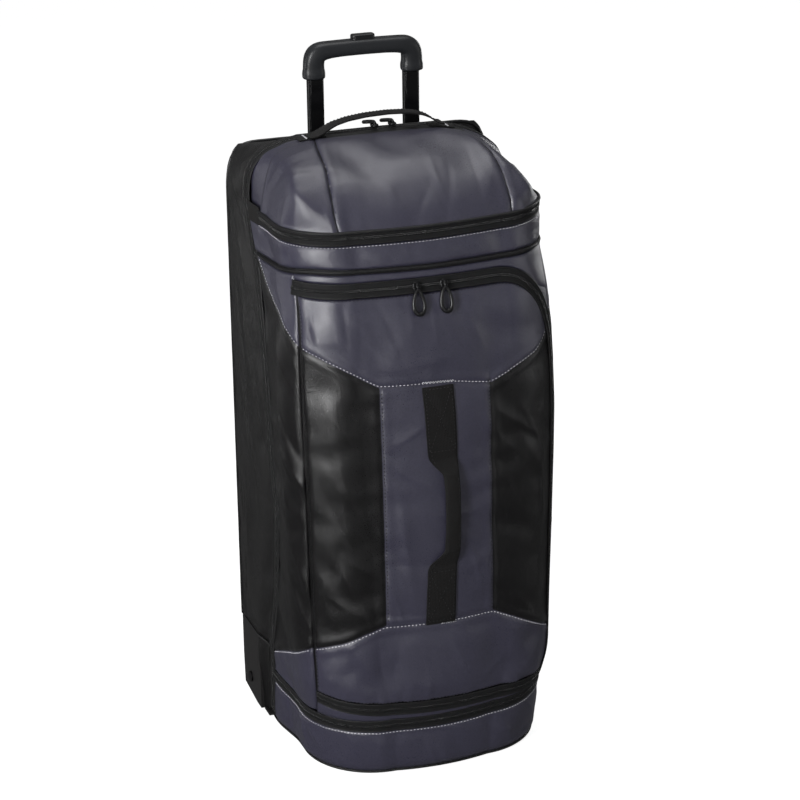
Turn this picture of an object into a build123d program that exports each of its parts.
from build123d import *
import math
import os

# Rolling drop-bottom duffel bag, standing upright on its wheels and on the
# bottom of its front compartment. Millimetres.
# Seen from the bag's front, +X is to the right, +Y is towards the back
# (trolley side) and +Z is up. "Left" pieces lie at -X, "right" ones at +X.
# Origin: on the floor, mid-width.

os.makedirs("parts", exist_ok=True)

# ------------------------------------------------------------ driving sizes
BACK_Y = 163.5            # rear plane of the rear compartment
TUB_HALF = 180.0          # half width of the rear compartment
WALL = 3.0                # padded fabric wall
TOP_Z = 813.0             # crown of the bag
SKIN = 1.4                # thickness of zipper tape over the fabric
SPAN = 260.0              # half width that clears the bag
FAR = 300.0               # reach of cutting shapes past the bag
HIGH = 900.0              # height above the bag

# Front compartment by height: (z, full width), (z, distance of the front
# corners ahead of y = 0), (z, corner radius).
WIDTHS = [
    (-20, 318), (0, 318), (45, 322), (77, 326), (103, 332), (130, 342),
    (200, 346), (331, 355), (420, 361), (470, 364), (562, 359),
    (620, 350), (675, 340), (717, 346), (760, 350), (840, 350)]
DEPTHS = [
    (-20, 138), (0, 138), (70, 141), (110, 149), (210, 143), (400, 136),
    (525, 128), (620, 119), (675, 104), (720, 93), (770, 90), (840, 90)]
CORNER_RADII = [(-20, 96), (77, 96), (130, 84), (400, 82), (675, 78), (840, 70)]
LOFT_Z = [-20, 0, 70, 110, 210, 331, 470, 562, 620, 675, 720, 770, 840]
BULGE = 7.0               # forward bow of the front between its corners

# Side view outline of the whole bag (y, z).
SIDE = [
    (-220, 0), (-220, 724), (-98, 724), (-84, 744), (-60, 772), (-37, 791),
    (0, 799), (48, 806), (58, TOP_Z), (76, TOP_Z), (BACK_Y, 783), (BACK_Y, 60),
    (160.5, 16), (104, 9), (60.5, 8), (59.5, 0)]
# Right half of the front view outline of the whole bag (x, z).
FRONT_HALF = [(101, 813.2), (160, 793), (177, 766), (186, 735), (SPAN, 735), (SPAN, -10)]
# Zipper line that parts the front compartment from the rear one (z, y).
SPLIT = [
    (-60, 60), (0, 60), (34, 60), (88, 49), (132, 38), (206, 7),
    (328, -14), (372, -11), (430, 0), (492, 4), (572, 22), (651, 49),
    (724, 92), (770, 86), (800, 68), (813, 60), (900, 60)]
SPLIT_GAP = 0.6           # half gap between the two halves of that zipper

PIPING_Z = 678.0          # seam below the top pocket
TOPZIP_Z = 720.0          # top pocket zipper
LID_BACK_Y = 38.0         # rear edge of the top pocket lid
BOTZIP_Z = 75.0           # bottom pocket zipper
FLAP_TOP_Z = 656.0        # front flap zipper, upper run
FLAP_BOT_Z = 99.0         # front flap zipper, lower run
TAPE = 6.5                # visible width of one zipper half
ZIP_GAP = 0.4             # half gap between the halves of the pocket zippers
SEAM_LOW = (-102.0, 110.0)   # lower point of the flap's seam (y, z)
SEAM_HIGH = (-82.0, 656.0)   # upper point of the flap's seam (y, z)

TUBE_X = 65.4             # trolley tube centres
TUBE_Y = 138.5
INNER_W, INNER_D = 21.0, 13.0    # sliding tube section
INNER_WALL = 1.2
INNER_R = 3.4
INNER_BORE_R = 2.3
OUTER_CLEAR = 0.1         # gap around the sliding tube in the fixed one
OUTER_WALL = 1.6
OUTER_R = 4.6
BORE_W, BORE_D = INNER_W + 2 * OUTER_CLEAR, INNER_D + 2 * OUTER_CLEAR
OUTER_W, OUTER_D = BORE_W + 2 * OUTER_WALL, BORE_D + 2 * OUTER_WALL
OUTER_Z0, OUTER_Z1 = 96.0, 778.0
INNER_Z0, INNER_Z1 = 440.0, 880.0
PIN_Z = 455.0
PIN_R = 2.5
STOP_PITCH = 44.5         # spacing of the handle's locking holes

WHEEL_X, WHEEL_Y, WHEEL_R = 153.0, 129.5, 37.0
RIM_R = 27.0
AXLE_R = 4.0
HOUSING_X0, HOUSING_X1 = 128.0, 180.6   # inner and outer face of a wheel housing
HOUSING_Y = 85.0          # front of a wheel housing
HOUSING_TOP = 118.0
HOUSING_WALL = 3.0
HOUSING_FIT = 0.6         # gap between the housings and the fabric

BEZEL_HALF = 96.0
BEZEL_Y0, BEZEL_Y1 = 123.0, 154.0
BEZEL_FIT = 0.3


# ------------------------------------------------------------------ helpers
def lerp(table, at):
    """Value of a two-column table at a given first-column entry."""
    if at <= table[0][0]:
        return table[0][1]
    for (start, first), (end, last) in zip(table, table[1:]):
        if at <= end:
            return first + (last - first) * (at - start) / (end - start)
    return table[-1][1]


def box(x0, x1, y0, y1, z0, z1):
    centre = Pos((x0 + x1) / 2, (y0 + y1) / 2, (z0 + z1) / 2)
    return centre * Box(x1 - x0, y1 - y0, z1 - z0)


def slab(z0, z1, back=FAR):
    """Everything between two heights and in front of y = back."""
    return box(-FAR, FAR, -FAR, back, z0, z1)


def both_halves(right_half):
    return [(-x, z) for x, z in reversed(right_half)] + right_half


def prism(points, plane, length, inset):
    face = make_face(Polyline(*points, close=True))
    if inset:
        face = offset(face, amount=-inset, kind=Kind.INTERSECTION)
    return extrude(plane * face, amount=length)


def prism_x(points, x0, x1, inset=0.0):
    """Extrude a (y, z) outline from x0 to x1."""
    plane = Plane(origin=(x0, 0, 0), x_dir=(0, 1, 0), z_dir=(1, 0, 0))
    return prism(points, plane, x1 - x0, inset)


def prism_y(points, y0, y1, inset=0.0):
    """Extrude an (x, z) outline between y0 and y1."""
    plane = Plane(origin=(0, y1, 0), x_dir=(1, 0, 0), z_dir=(0, -1, 0))
    return prism(points, plane, y1 - y0, inset)


def rod_x(x0, x1, y, z, radius):
    return Pos((x0 + x1) / 2, y, z) * Rot(0, 90, 0) * Cylinder(radius, abs(x1 - x0))


def rod_y(x, y0, y1, z, radius):
    return Pos(x, (y0 + y1) / 2, z) * Rot(90, 0, 0) * Cylinder(radius, y1 - y0)


def rod_z(x, y, z0, z1, radius):
    return Pos(x, y, (z0 + z1) / 2) * Cylinder(radius, z1 - z0)


def wheel_rod(x0, x1, radius):
    """Cylinder on the wheel axis."""
    return rod_x(x0, x1, WHEEL_Y, WHEEL_R, radius)


def side_span(side, near, far):
    """Ascending x range between two distances from the middle, on one side."""
    return sorted((side * near, side * far))


def group(shapes):
    return Compound(children=[solid for shape in shapes for solid in shape.solids()])


def keep_big(shape, least=5.0):
    """Drop the slivers that a boolean leaves behind."""
    solids = [s for s in shape.solids() if s.volume > least]
    return solids[0] if len(solids) == 1 else Compound(children=solids)


def save(shape, node):
    export_step(shape, f"parts/{node}.step")


# ------------------------------------------------------------ bag envelopes
def plan_wire(z, inset):
    """Plan outline of the front compartment at height z, open arcs in front."""
    half = lerp(WIDTHS, z) / 2 - inset
    front = -(lerp(DEPTHS, z) - inset)
    radius = lerp(CORNER_RADII, z) - inset
    back = BACK_Y + 20
    flat = half - radius
    side_y = front + radius
    bend = radius * math.sqrt(0.5)
    return Wire([
        Line((-half, back, z), (-half, side_y, z)),
        ThreePointArc((-half, side_y, z), (-flat - bend, side_y - bend, z), (-flat, front, z)),
        ThreePointArc((-flat, front, z), (0, front - BULGE, z), (flat, front, z)),
        ThreePointArc((flat, front, z), (flat + bend, side_y - bend, z), (half, side_y, z)),
        Line((half, side_y, z), (half, back, z)),
        Line((half, back, z), (-half, back, z)),
    ])


def trim_to_outlines(body, inset):
    side = prism_x(SIDE, -SPAN, SPAN, inset)
    front = prism_y(both_halves(FRONT_HALF), -SPAN, SPAN, inset)
    return body & side & front


def front_envelope(inset):
    body = Solid.make_loft([plan_wire(z, inset) for z in LOFT_Z], ruled=True)
    return trim_to_outlines(body, inset)


def tub_envelope(inset):
    half = TUB_HALF - inset
    body = box(-half, half, -60, BACK_Y - inset, -20, 860)
    rear_edges = [e for e in body.edges().filter_by(Axis.Z) if e.center().Y > 0]
    return trim_to_outlines(fillet(rear_edges, 10.0 - inset * 0.5), inset)


def split_strip(front=None, back=None):
    """Strip between two y offsets of the split line; None runs past the bag."""
    def edge(shift, past_bag):
        if shift is None:
            return [(past_bag, SPLIT[0][0]), (past_bag, SPLIT[-1][0])]
        return [(y + shift, z) for z, y in SPLIT]

    return prism_x(edge(front, -400) + edge(back, 400)[::-1], -SPAN, SPAN)


def seam_y(z):
    (y0, z0), (y1, z1) = SEAM_LOW, SEAM_HIGH
    return y0 + (z - z0) * (y1 - y0) / (z1 - z0)


def flap_zone(side_grow, z_grow, seam_grow):
    """Zone of the front flap: everything in front of the leaning plane through
    its seam, between its two zipper runs, with a cut-off upper right corner."""
    low = FLAP_BOT_Z - z_grow
    top = FLAP_TOP_Z + z_grow
    zone = prism_x([(-FAR, low), (-FAR, top), (seam_y(top) + seam_grow, top),
                    (seam_y(low) + seam_grow, low)], -FAR, FAR)
    # The corner: x, and height relative to the top of the zone.
    corner = [(106, 1), (132, -18), (150, -40), (161, -62), (172, -92)]
    outline = [(-FAR, low - 1), (-FAR, top + 1)]
    outline += [(x + side_grow, top + rise) for x, rise in corner]
    outline += [(FAR, top - 130), (FAR, low - 1)]
    return zone & prism_y(outline, -FAR, 0)


front_outer = front_envelope(0)
front_inner = front_envelope(WALL)
tub_outer = tub_envelope(0)
tub_inner = tub_envelope(WALL)
front_side = split_strip(back=-SPLIT_GAP)
tub_side = split_strip(front=SPLIT_GAP)
front_all_wall = front_outer - front_inner
front_all_skin = front_envelope(-SKIN) - front_outer
front_wall = front_all_wall & front_side
front_skin = front_all_skin & front_side
tub_wall = (tub_outer - tub_inner) & tub_side
tub_skin = (tub_envelope(-SKIN) - tub_outer) & tub_side


# --------------------------------------------------------- rear compartment
def tub_shell():
    cut_top = HOUSING_TOP + HOUSING_FIT
    shell = tub_wall
    # Lower rear corners for the wheel housings.
    for side in (1, -1):
        shell = shell - box(*side_span(side, HOUSING_X0 - HOUSING_FIT, 200),
                            HOUSING_Y - HOUSING_FIT, 200, -20, cut_top)
    # Lower back and bottom for the kick plate.
    shell = shell - box(-127.5, 127.5, 150, 200, -20, cut_top)
    shell = shell - box(-200, 200, 40, 200, -20, 12.6)
    shell = shell - box(-176.6, 176.6, 40, 200, -20, 21.0)
    # Slot in the roof for the handle bezel.
    slot_half = BEZEL_HALF + BEZEL_FIT
    slot = box(-slot_half, slot_half, BEZEL_Y0 - BEZEL_FIT, BEZEL_Y1 + BEZEL_FIT, 770, 800)
    return keep_big(shell - slot)


def kick_plate():
    # Bent plate under the bottom and up the back (y, z).
    profile = [
        (61, 8.2), (104, 9.2), (127, 11.6), (157, 15.6), (160.3, 16.2), (163.3, 60),
        (163.3, HOUSING_TOP), (159.6, HOUSING_TOP), (159.6, 60), (157, 19.6),
        (127, 15.6), (104, 12.4), (61, 12.2)]
    plate = prism_x(profile, -127, 127)
    plate = plate + box(-176.4, 176.4, 61, 83.8, 8.2, 12.2)
    for z in (40, 60, 80, 100):    # ribs on the back
        plate = plate + box(-120, 120, 160.9, 165.2, z - 3, z + 3)
    return plate


def back_plate():
    plate = box(-166, 166, 157.2, 160.2, 126, 762)
    for x in (-108, 108):          # upright ribs on its front
        plate = plate + box(x - 6, x + 6, 155.2, 157.3, 140, 740)
    return plate


def skid_rail(x):
    rail = box(x - 7, x + 7, BACK_Y + 0.1, BACK_Y + 4.5, 150, 700)
    ends = [e for e in rail.edges().filter_by(Axis.X) if e.center().Y > BACK_Y + 3]
    return chamfer(ends, 4.0)


save(tub_shell(), "tub_shell")
save(kick_plate(), "kick_plate")
save(back_plate(), "back_plate")
save(tub_inner & box(-170, 170, 122.4, 123.9, 126, 756), "tube_lining")

divider = split_strip(5, 7) & tub_envelope(WALL + 0.8) & box(-200, 200, -60, 100, 20, 700)
save(keep_big(divider), "divider_panel")

split_tape_rear = (tub_skin & split_strip(SPLIT_GAP, SPLIT_GAP + TAPE)
                   & box(-SPAN, SPAN, -60, 122, 14, HIGH))
save(keep_big(split_tape_rear), "split_tape_rear")
save(group([skid_rail(x) for x in (-92, 92)]), "skid_rails")


# -------------------------------------------------------------- wheel units
def wheel_housing(side):
    x0, x1 = side_span(side, HOUSING_X0, HOUSING_X1)
    profile = [(HOUSING_Y, 9), (104, 9), (160.5, 16), (163.4, 60),
               (163.4, HOUSING_TOP), (HOUSING_Y, HOUSING_TOP)]
    body = prism_x(profile, x0, x1)
    # Wheel well, open to the back and to the floor.
    well_x = side_span(side, WHEEL_X - 15, WHEEL_X + 15)
    well_r = WHEEL_R + 4
    well = wheel_rod(*well_x, well_r)
    well += box(*well_x, WHEEL_Y, 200, WHEEL_R - 60, WHEEL_R + well_r)
    well += box(*well_x, WHEEL_Y - well_r, 200, -30, WHEEL_R)
    body = body - well
    hollow_x = side_span(side, HOUSING_X0 + HOUSING_WALL, HOUSING_X1 - HOUSING_WALL)
    body = body - box(*hollow_x, 82, 158, 84, HOUSING_TOP - HOUSING_WALL)
    return body - wheel_rod(x0 - 1, x1 + 1, AXLE_R + 0.05)


def axle(side):
    shaft = wheel_rod(side * 126.2, side * 182.2, AXLE_R)
    for head_x, radius in ((127.0, 7.0), (181.7, 7.5)):
        shaft += wheel_rod(side * head_x - 0.9, side * head_x + 0.9, radius)
    return shaft


def wheel_hub(x):
    rim = wheel_rod(x - 11, x + 11, RIM_R) - wheel_rod(x - 12, x + 12, 23)
    # Groove around the rim that keys the tyre.
    rim -= wheel_rod(x - 4, x + 4, 30) - wheel_rod(x - 4, x + 4, 25.5)
    # Hub with a bearing pocket in each face.
    hub = wheel_rod(x - 9, x + 9, 14) - wheel_rod(x - 10, x - 2, 11)
    hub = hub - wheel_rod(x + 2, x + 10, 11) - wheel_rod(x - 10, x + 10, 6)
    spoke = box(x - 4, x + 4, -2.5, 2.5, 12.5, 24)
    for k in range(6):
        hub += Pos(0, WHEEL_Y, WHEEL_R) * Rot(k * 60, 0, 0) * spoke
    return rim + hub


def tyre(x):
    ring = wheel_rod(x - 12, x + 12, WHEEL_R)
    ring = fillet(ring.edges().filter_by(GeomType.CIRCLE), 4.0)
    ring -= wheel_rod(x - 13, x + 13, RIM_R)
    ring += wheel_rod(x - 3.9, x + 3.9, RIM_R + 0.4) - wheel_rod(x - 13, x + 13, 25.6)
    return ring


def bearings(x):
    return group([
        wheel_rod(x0 + 0.02, x1 - 0.02, 10.98) - wheel_rod(x0 - 1, x1 + 1, AXLE_R + 0.04)
        for x0, x1 in ((x - 9, x - 2), (x + 2, x + 9))])


SIDES = ((-1, "left"), (1, "right"))
for side, name in SIDES:
    save(wheel_housing(side), "wheel_housing_" + name)
    save(wheel_hub(side * WHEEL_X), "wheel_hub_" + name)
    save(tyre(side * WHEEL_X), "tyre_" + name)
    save(bearings(side * WHEEL_X), "bearings_" + name)
save(group([axle(side) for side in (-1, 1)]), "axles")


# ----------------------------------------------------------- trolley handle
def rounded_bar(x, width, depth, z0, z1, radius):
    """Upright bar of rounded section, centred on the tubes' y."""
    return extrude(Pos(x, TUBE_Y, z0) * RectangleRounded(width, depth, radius), amount=z1 - z0)


def outer_socket(side, z0, z1):
    """Cutter that clears a fixed tube."""
    return rounded_bar(side * TUBE_X, OUTER_W + 0.1, OUTER_D + 0.1, z0, z1, OUTER_R)


def drill_stops(tube, side, heights, radius):
    """Drill the wall that faces the bag's middle."""
    x = side * TUBE_X
    for z in heights:
        tube -= rod_x(x - side * 7.0, x - side * 16.0, TUBE_Y, z, radius)
    return tube


def outer_tube(side):
    x = side * TUBE_X
    tube = rounded_bar(x, OUTER_W, OUTER_D, OUTER_Z0, OUTER_Z1, OUTER_R)
    tube -= rounded_bar(x, BORE_W, BORE_D, OUTER_Z0 - 1, OUTER_Z1 + 1, 3.3)
    return drill_stops(tube, side, [PIN_Z + k * STOP_PITCH for k in range(-1, 6)], PIN_R + 0.2)


def inner_tube(side):
    x = side * TUBE_X
    tube = rounded_bar(x, INNER_W, INNER_D, INNER_Z0, INNER_Z1, INNER_R)
    tube -= rounded_bar(x, INNER_W - 2 * INNER_WALL, INNER_D - 2 * INNER_WALL,
                        INNER_Z0 - 1, INNER_Z1 + 1, INNER_BORE_R)
    return drill_stops(tube, side, [PIN_Z], PIN_R + 0.1)


def lock_housing(side):
    """Plug in the foot of a sliding tube, bored for its pin and push rod."""
    x = side * TUBE_X
    shrink = 2 * INNER_WALL + 0.1
    plug = rounded_bar(x, INNER_W - shrink, INNER_D - shrink,
                       INNER_Z0 + 0.5, INNER_Z0 + 38, INNER_BORE_R)
    plug -= rod_x(x + side * 4.5, x - side * 12, TUBE_Y, PIN_Z, PIN_R + 0.1)
    plug -= rod_z(x, TUBE_Y, PIN_Z + 4, INNER_Z0 + 40, 2.7)
    return plug


def lock_pin(side):
    x = side * TUBE_X
    return rod_x(x + side * 0.5, x - side * OUTER_W / 2, TUBE_Y, PIN_Z, PIN_R)


for build, node in ((outer_tube, "outer_tubes"), (inner_tube, "inner_tubes"),
                    (lock_housing, "lock_housings")):
    save(group([build(side) for side in (-1, 1)]), node)
for side, name in SIDES:
    save(lock_pin(side), "lock_pin_" + name)


def handle_bezel():
    """Bezel set into the rear compartment's roof, with two guide holes."""
    profile = [(BEZEL_Y0, 779.4), (BEZEL_Y1, 770.6), (BEZEL_Y1, 787.6),
               (150, 789.6), (127, 797.4), (BEZEL_Y0, 797)]
    bezel = prism_x(profile, -BEZEL_HALF, BEZEL_HALF)
    for side in (-1, 1):
        bezel -= rounded_bar(side * TUBE_X, INNER_W + 0.6, INNER_D + 0.6, 760, 810, 3.5)
        bezel -= outer_socket(side, 760, OUTER_Z1 + 0.1)
    return bezel


save(handle_bezel(), "handle_bezel")

# Brackets that clamp the fixed tubes in front of the back plate.
BRACKETS = ((130, 150), (400, 412), (740, 758))   # z range of each
SCREW_X = (-88, -30, 30, 88)
BRACKET_Y = 155.1         # rear face


def tube_bracket(z0, z1):
    bracket = box(-94, 94, 146.9, BRACKET_Y, z0, z1)
    for side in (-1, 1):
        x = side * TUBE_X
        block = box(x - 16, x + 16, 126.5, 147.0, z0, z1)
        bracket += block - outer_socket(side, z0 - 1, z1 + 1)
    for x in SCREW_X:
        bracket -= rod_y(x, 140, 160, (z0 + z1) / 2, 2.1)
    return bracket


def bracket_screw(x, z):
    return rod_y(x, 147.2, BRACKET_Y, z, 2.05) + rod_y(x, 144.9, 146.85, z, 3.8)


save(group([tube_bracket(z0, z1) for z0, z1 in BRACKETS]), "tube_brackets")
save(group([bracket_screw(x, (z0 + z1) / 2) for z0, z1 in BRACKETS for x in SCREW_X]),
     "bracket_screws")

GRIP_HALF = 81.5
GRIP_LEG_Z = 864.0
GRIP_D = 26.0


def grip():
    """A bar with two legs, hollow for the release mechanism."""
    half = [
        (30, 914), (66, 911.5), (77, 907), (GRIP_HALF, 897), (GRIP_HALF, GRIP_LEG_Z),
        (GRIP_HALF - 29, GRIP_LEG_Z), (GRIP_HALF - 30.5, 886), (GRIP_HALF - 38, 893)]
    # The outline closes across the top, so its halves join under the bar.
    outline = both_halves(half[::-1])[::-1]
    body = prism_y(outline[::-1], TUBE_Y - GRIP_D / 2, TUBE_Y + GRIP_D / 2)
    rounded = [e for e in body.edges()
               if abs(abs(e.center().Y - TUBE_Y) - GRIP_D / 2) < 0.1 and e.center().Z > 895.0]
    body = fillet(rounded, 4.0)
    body -= box(-72, 72, TUBE_Y - 8, TUBE_Y + 8, 896.2, 907.5)
    body -= rounded_bar(0, 32, 15, 900, 930, 5)
    for side in (-1, 1):
        x = side * TUBE_X
        body -= rounded_bar(x, INNER_W + 0.1, INNER_D + 0.1,
                            GRIP_LEG_Z - 1, INNER_Z1 + 0.1, INNER_R)
        body -= rod_z(x, TUBE_Y, INNER_Z1 - 1, 900, 3.6)
    return body


def release_button():
    button = rounded_bar(0, 31, 14, 905.6, 918, 4.5)
    return fillet([e for e in button.edges() if e.center().Z > 917.9], 1.5)


def push_rods():
    """Cross bar under the button with a rod down each sliding tube."""
    rods = box(-68, 68, TUBE_Y - 4, TUBE_Y + 4, 902.6, 905.5)
    for side in (-1, 1):
        rods += rod_z(side * TUBE_X, TUBE_Y, 466, 903, 2.3)
    return rods


def button_spring(x):
    path = Helix(pitch=1.8, height=4.9, radius=3.0, center=(x, TUBE_Y, 896.9))
    return sweep(Plane(origin=path @ 0, z_dir=path % 0) * Circle(0.45), path=path)


save(grip(), "grip")
save(release_button(), "release_button")
save(push_rods(), "push_rods")
save(group([button_spring(x) for x in (-34, 34)]), "button_springs")

# -------------------------------------------------------- front compartment
flap_inside = flap_zone(0, -ZIP_GAP, 0)
flap_outside = flap_zone(0.8, ZIP_GAP, 1.0)

front_shell = ((front_wall & slab(BOTZIP_Z + ZIP_GAP, HIGH))
               - slab(TOPZIP_Z - ZIP_GAP, HIGH, LID_BACK_Y + 0.8) - flap_outside)
save(keep_big(front_shell), "front_shell")

pocket_space = front_envelope(WALL + 0.3) & split_strip(back=-4)
save(pocket_space & slab(673.5, 675.5), "top_pocket_floor")
save(pocket_space & slab(90, 92), "bottom_pocket_roof")

save(keep_big(front_wall & slab(-1, BOTZIP_Z - ZIP_GAP)), "bottom_tray")
save(front_envelope(WALL + 1.0) & split_strip(back=-6) & slab(4.2, 6.7), "base_board")

save(keep_big(front_skin & slab(BOTZIP_Z - TAPE, BOTZIP_Z + TAPE, 48)), "bottom_pocket_zip")
save(keep_big(front_skin & slab(TOPZIP_Z - TAPE, TOPZIP_Z - ZIP_GAP, 84)), "top_zip_lower_tape")
save(keep_big(front_all_wall & slab(TOPZIP_Z + ZIP_GAP, HIGH, LID_BACK_Y)), "lid_shell")
save(keep_big(front_all_skin & slab(TOPZIP_Z + ZIP_GAP, TOPZIP_Z + TAPE, LID_BACK_Y - 1)),
     "top_zip_upper_tape")

piping_skin = (front_envelope(-2.6) - front_outer) & split_strip(back=-8)
save(keep_big(piping_skin & slab(PIPING_Z - 2, PIPING_Z + 2)), "top_piping")
save(keep_big(piping_skin & slab(2.5, 6.5)), "bottom_piping")

# Front half of the split zipper, interrupted by the two pocket zippers.
split_front = (front_skin & split_strip(-TAPE - SPLIT_GAP, -SPLIT_GAP)
               & box(-SPAN, SPAN, -60, 122, 10, HIGH))
split_front -= slab(TOPZIP_Z - TAPE - 0.6, TOPZIP_Z + ZIP_GAP, 90)
split_front -= slab(BOTZIP_Z - TAPE - 0.6, BOTZIP_Z + TAPE + 0.6, 48.6)
save(keep_big(split_front, 20), "split_tape_front")

# Front flap and the zipper around it, which stops short of the left side.
save(keep_big(front_wall & flap_inside), "flap_panel")
zip_reach = box(-155, FAR, -FAR, 0, 0, HIGH)
flap_tape = ((front_skin & flap_inside) - flap_zone(-TAPE, -TAPE, -TAPE)) & zip_reach
save(keep_big(flap_tape, 20), "flap_tape")
frame_tape = ((front_skin & flap_zone(TAPE, TAPE, TAPE)) - flap_outside) & zip_reach
save(keep_big(frame_tape, 20), "flap_frame_tape")


# ------------------------------------------------------------------ handles
def front_y(z, x=0.0):
    """y of the bowed front face."""
    half_chord = lerp(WIDTHS, z) / 2 - lerp(CORNER_RADII, z)
    radius = (half_chord * half_chord + BULGE * BULGE) / (2 * BULGE)
    return -(lerp(DEPTHS, z) + BULGE - (radius - math.sqrt(radius * radius - x * x)))


def strap(stations, thickness, x0, x1):
    """Strap up the front face from (z, lift off the face) stations."""
    outside = [(front_y(z) - lift - thickness, z) for z, lift in stations]
    inside = [(front_y(z) - lift, z) for z, lift in stations]
    return prism_x(outside + inside[::-1], x0, x1)


def grab_handle():
    """Wide sewn ends joined by a raised, narrower and thicker neck."""
    ends = strap([(215, 0.4), (250, 0.5), (284, 0.6), (296, 4), (310, 10), (340, 13),
                  (396, 13), (418, 10), (432, 4), (446, 0.6), (490, 0.5), (530, 0.4)],
                 2.2, -23, 17)
    ends = ends - box(-30, 17.2, -400, 0, 297, 431)
    neck = strap([(295, 3.4), (296, 4.3), (310, 10.3), (340, 13.3),
                  (396, 13.3), (418, 10.3), (432, 4.3), (433, 3.4)], 3.4, -2, 17)
    return ends + neck


def carry_handle():
    """Arch across the crown, with a wider and thicker crest."""
    # (x, z) before lifting, left to right on top and right to left below.
    top = [(-107, 807.5), (-92, 812), (-72, 819), (-45, 826), (-8, 830.5),
           (28, 828.5), (50, 821), (63, 814), (74, 809.6)]
    under = [(74, 807.2), (62, 811.2), (49, 818.2), (27.5, 825.7), (-8, 827.7),
             (-44.5, 823.2), (-71, 816.2), (-91, 809.2), (-107, 805.0)]

    def lifted(points, rise):
        return [(x, z + rise) for x, z in points]

    arch = prism_y(lifted(top + under, 6.5), 39.4, 51.4)
    crest = lifted(top[2:-2], 7.3) + lifted(under[2:-2], 5.9)
    return arch + prism_y(crest, 39.4, 59.4)


save(grab_handle(), "grab_handle")
save(carry_handle(), "carry_handle")

# ----------------------------------------------------------- zipper sliders
# Local frame: the slider lies on the XZ plane, outward is -Y and the pull
# hangs towards -Z from the slider's bridge.
BRIDGE_Y, BRIDGE_Z = -4.9, -1.6


def slider():
    body = box(-5, 5, -2.6, 0, -6.5, 6.5)
    body = chamfer(body.edges().filter_by(Axis.Y), 2.0)
    for x0, x1 in ((-3.4, -1.9), (1.9, 3.4)):
        body = body + box(x0, x1, -6.6, -2.5, -3.6, 2.0)
    return body + rod_x(-3.0, 3.0, BRIDGE_Y, BRIDGE_Z, 0.8)


def pull_tab(droop):
    """Pull, swung about the bridge by droop degrees towards the fabric."""
    eye = rod_x(-1.7, 1.7, BRIDGE_Y, BRIDGE_Z, 2.0) - rod_x(-3, 3, BRIDGE_Y, BRIDGE_Z, 0.85)
    stem = box(-1.7, 1.7, -5.9, -3.9, -8.0, -3.35)
    loop = RectangleRounded(16.4, 30, 8) - RectangleRounded(10.4, 22, 5.1)
    ring = Pos(0, BRIDGE_Y, -22.0) * Rot(90, 0, 0) * extrude(loop, amount=1.5, both=True)
    turn = Pos(0, BRIDGE_Y, BRIDGE_Z) * Rot(droop, 0, 0) * Pos(0, -BRIDGE_Y, -BRIDGE_Z)
    return turn * (eye + stem + ring)


def save_slider(node, x, y, z, lean=0.0, yaw=0.0, droop=0.0):
    place = Pos(x, y, z) * Rot(0, 0, yaw) * Rot(lean, 0, 0)
    save(place * slider(), node + "_slider")
    save(place * pull_tab(droop), node + "_pull")


for x, name in ((-24.0, "left"), (12.0, "right")):
    save_slider("flap_" + name, x, front_y(FLAP_TOP_Z, x) - SKIN - 1.5, FLAP_TOP_Z, lean=-15.0)
for x, name in ((-12.0, "left"), (12.0, "right")):
    # These lie on the crown with their pulls towards the back.
    save_slider("split_" + name, x, 62.5, TOP_Z + SKIN + 0.5, lean=-90.0, yaw=180.0, droop=12.0)
# Sliders of the two end pockets, on the bag's right.
save_slider("top_zip", 173.0 + SKIN + 1.3, -10.0, TOPZIP_Z, yaw=90.0)
save_slider("bottom_zip", 163.0 + SKIN + 1.3, -10.0, BOTZIP_Z, yaw=90.0)
